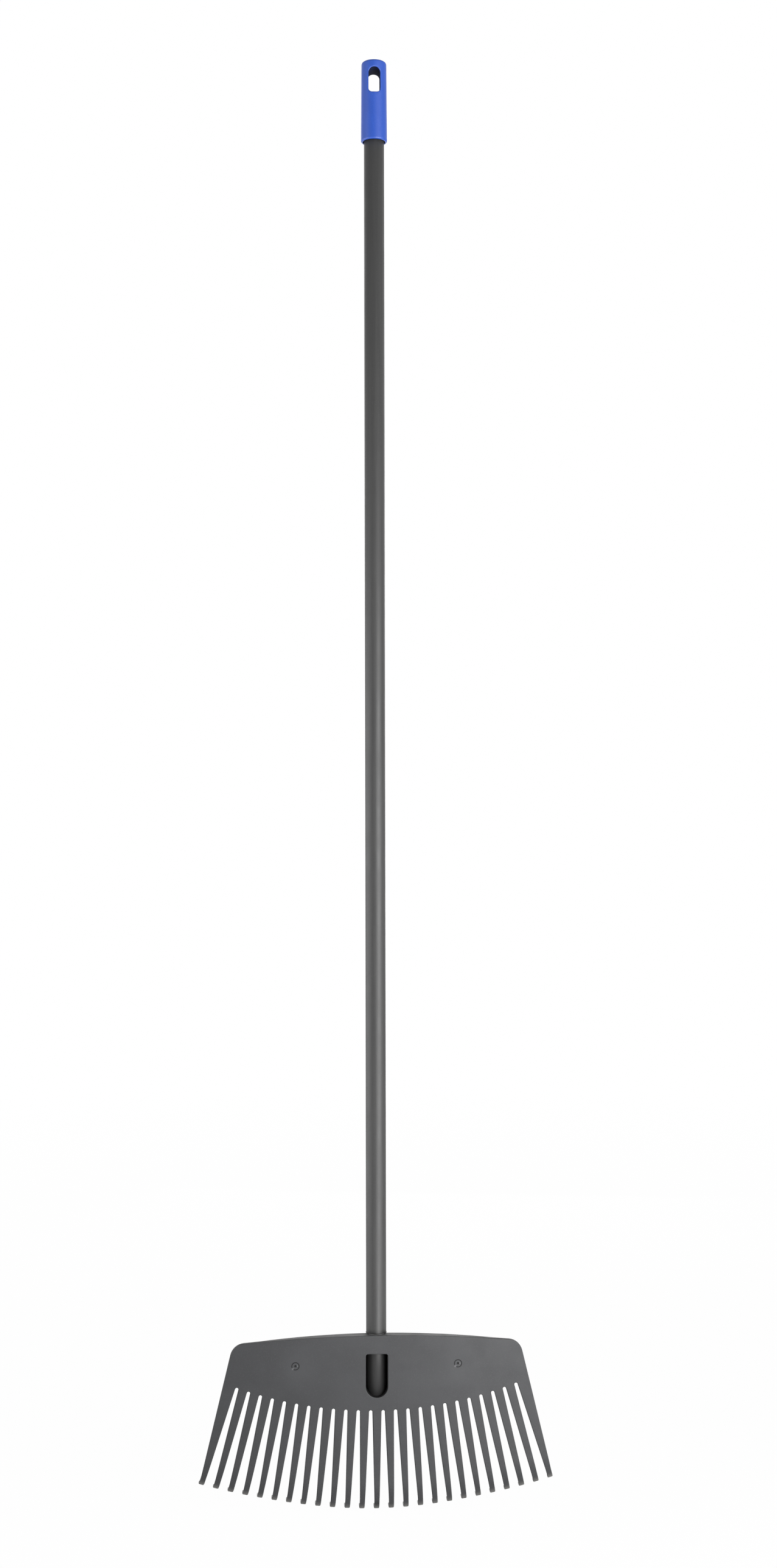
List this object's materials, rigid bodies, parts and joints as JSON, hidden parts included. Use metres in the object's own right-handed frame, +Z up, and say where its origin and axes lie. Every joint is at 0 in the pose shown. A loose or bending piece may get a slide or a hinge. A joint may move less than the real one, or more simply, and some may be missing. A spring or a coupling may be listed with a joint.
{
  "type": "leaf_rake",
  "caption": "Leaf rake with a moulded fan head of hooked tines, a long round tube and a hanging grip, for gathering leaves and cut grass.",
  "frame": {"origin": "the point under the top of the hanging slot, on the shaft's axis", "axes": "+Z runs up the shaft, -Y is the front of the head, and +X is to the right of someone who faces that front"},
  "size_m": [0.4236, 0.0358, 1.7265],
  "materials": {
    "grip_plastic": "satin blue moulding",
    "tube_paint": "satin charcoal coating on a metal tube",
    "head_plastic": "fine-grained charcoal moulding",
    "screw_steel": "zinc-plated steel"
  },
  "bodies": {
    "root": {"hanging_grip": "grip_plastic", "shaft_tube": "tube_paint", "rake_head": "head_plastic", "retaining_screw": "screw_steel"}
  },
  "joints": []
}
